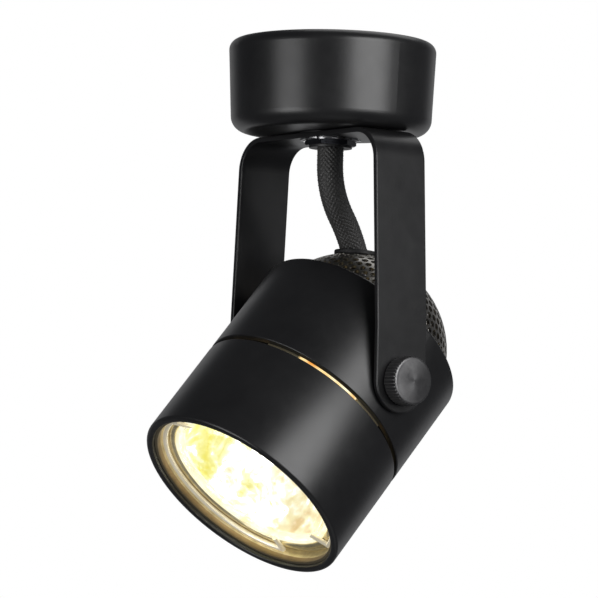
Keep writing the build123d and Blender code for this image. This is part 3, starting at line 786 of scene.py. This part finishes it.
def make_front_tube():
    """Front tube with rounded edges, turned finely enough for its long highlight."""
    inner = HEAD_R - HEAD_WALL
    outline = rounded(
        [(inner, HEAD_FRONT), (HEAD_R, HEAD_FRONT), (HEAD_R, LIGHT_GAP), (inner, LIGHT_GAP)],
        {0: 0.5, 1: 0.9, 2: 0.35},
    )
    mesh = turned("front_tube", outline, HEAD, 288)
    finish_mesh("front_tube", mesh, "head", "black_paint", ["front_housing"])


make_front_tube()


# ---- lamp seat ring -----------------------------------------------------------------
def make_seat_ring():
    """The stepped ring with a rolled inner bead and two grooves behind the wire."""
    outline = rounded(
        [
            (28.95, SEAT_FRONT), (29.75, SEAT_FRONT), (29.75, -38.2), (27.0, -38.2), (27.0, -36.0),
            (24.6, -36.0), (24.6, -36.8), (25.5, -36.8), (25.5, -39.6), (27.2, -39.6), (27.2, -38.4),
            (27.7, -38.4), (27.7, -39.0), (28.5, -39.0), (28.5, -38.4), (28.95, -38.4),
        ],
        {0: 0.2, 8: 0.7, 9: 0.5, 12: 0.15, 13: 0.15},
        6,
    )
    mesh = turned("seat_ring", outline, HEAD, 200)
    finish_mesh("seat_ring", mesh, "head", "bright_aluminium", ["lamp_seat_ring"])


make_seat_ring()


# ---- knobs --------------------------------------------------------------------------
KNOB_R = 6.9
KNOB_TEETH = 42
KNOB_TOOTH_DEPTH = 0.5
STEPS_PER_TOOTH = 8
KNOB_CROWN = 0.42


def make_knob(side, direction):
    """Knob with a rounded straight knurl, chamfered ends and a slightly crowned turned face."""
    node = "knob_cap_" + side
    low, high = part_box(node)
    seat = (low.x if direction > 0 else high.x) / MM
    length = (high.x - low.x) / MM
    face_edge = length - KNOB_CROWN
    rows = [
        (0.0, KNOB_R - 0.45, 0.0), (0.12, KNOB_R - 0.28, 0.3), (0.5, KNOB_R, 1.0),
        (face_edge - 0.75, KNOB_R, 1.0), (face_edge - 0.35, KNOB_R - 0.16, 0.5),
        (face_edge - 0.12, KNOB_R - 0.34, 0.0), (face_edge, KNOB_R - 0.55, 0.0),
    ]
    for share in (0.94, 0.85, 0.7, 0.5, 0.3, 0.12):
        reach = (KNOB_R - 0.62) * share
        rows.append((face_edge - 0.04 + KNOB_CROWN * (1 - share * share), reach, 0.0))
    steps = KNOB_TEETH * STEPS_PER_TOOTH
    points, faces = [], []
    for height, radius, tooth in rows:
        for step in range(steps):
            turn = 2 * math.pi * step / steps
            cut = 0.5 - 0.5 * math.cos(KNOB_TEETH * turn)
            reach = radius - tooth * KNOB_TOOTH_DEPTH * cut**1.5
            points.append((seat + direction * height, reach * math.cos(turn), reach * math.sin(turn)))
    for row in range(len(rows) - 1):
        for step in range(steps):
            ahead = (step + 1) % steps
            low, high = row * steps, (row + 1) * steps
            faces.append((low + step, low + ahead, high + ahead, high + step))
    faces.append(tuple(range(steps)))
    faces.append(tuple(range((len(rows) - 1) * steps, len(rows) * steps)))
    place = Matrix.Translation(PIVOT)
    mesh = mesh_from("turned_knob_" + side, points, faces, place)
    finish_mesh("turned_knob_" + side, mesh, "knob_" + side, "knob_plastic", [node], 30)


make_knob("right", 1)
make_knob("left", -1)


# ---- studio -------------------------------------------------------------------------
FLOOR_DROP = 1.2
FLOOR_REACH = 0.8
SURROUND_STRENGTH = 0.085


def soft_light(name, where, aim, size, power):
    """Rectangular soft box that points at aim."""
    data = bpy.data.lights.new(name, "AREA")
    data.shape = "RECTANGLE"
    data.size, data.size_y = size
    data.energy = power
    light = bpy.data.objects.new(name, data)
    light.location = where
    light.visible_camera = False
    light.rotation_mode = "QUATERNION"
    light.rotation_quaternion = (Vector(aim) - Vector(where)).to_track_quat("-Z", "Y")
    bpy.context.scene.collection.objects.link(light)


def make_studio():
    """White surroundings that light the lamp only faintly, a pale floor below it, and four soft boxes."""
    world = bpy.data.worlds.new("studio")
    bpy.context.scene.world = world
    world.use_nodes = True
    tree = world.node_tree
    backdrop = tree.nodes["Background"]
    backdrop.inputs["Color"].default_value = (1, 1, 1, 1)
    backdrop.inputs["Strength"].default_value = 1.0
    dim = tree.nodes.new("ShaderNodeBackground")
    dim.inputs["Color"].default_value = (0.9, 0.92, 1.0, 1)
    dim.inputs["Strength"].default_value = SURROUND_STRENGTH
    path = tree.nodes.new("ShaderNodeLightPath")
    mix = tree.nodes.new("ShaderNodeMixShader")
    tree.links.new(path.outputs["Is Camera Ray"], mix.inputs["Fac"])
    tree.links.new(dim.outputs["Background"], mix.inputs[1])
    tree.links.new(backdrop.outputs["Background"], mix.inputs[2])
    tree.links.new(mix.outputs["Shader"], tree.nodes["World Output"].inputs["Surface"])

    low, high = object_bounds()
    middle = (low + high) / 2
    floor_mesh = bpy.data.meshes.new("floor")
    reach, level = FLOOR_REACH, low.z - FLOOR_DROP
    corners = [(-reach, -reach, level), (reach, -reach, level), (reach, reach, level), (-reach, reach, level)]
    floor_mesh.from_pydata(corners, [], [(0, 1, 2, 3)])
    floor = bpy.data.objects.new("floor", floor_mesh)
    bpy.context.scene.collection.objects.link(floor)
    floor_mesh.materials.append(plastic("pale_floor", (0.86, 0.86, 0.86), 0.6, 400))

    def around(degrees, distance, height):
        """A place round the object; degrees are counted from the camera, towards its right."""
        turn = CAMERA_AZIMUTH + math.radians(degrees)
        return middle + Vector((math.sin(turn) * distance, -math.cos(turn) * distance, height))

    soft_light("soft_box_right", around(42, 0.9, 0.22), middle, (0.72, 0.60), 8)
    soft_light("soft_box_left", around(-48, 0.9, -0.10), middle, (0.50, 0.50), 3.4)
    soft_light("soft_box_top", around(150, 0.5, 0.9), middle, (0.8, 0.8), 2.5)
    soft_light("soft_box_back", around(180, 1.0, 0.0), middle, (1.7, 1.2), 2.2)


make_studio()
scene = bpy.context.scene
scene.view_settings.view_transform = "Standard"
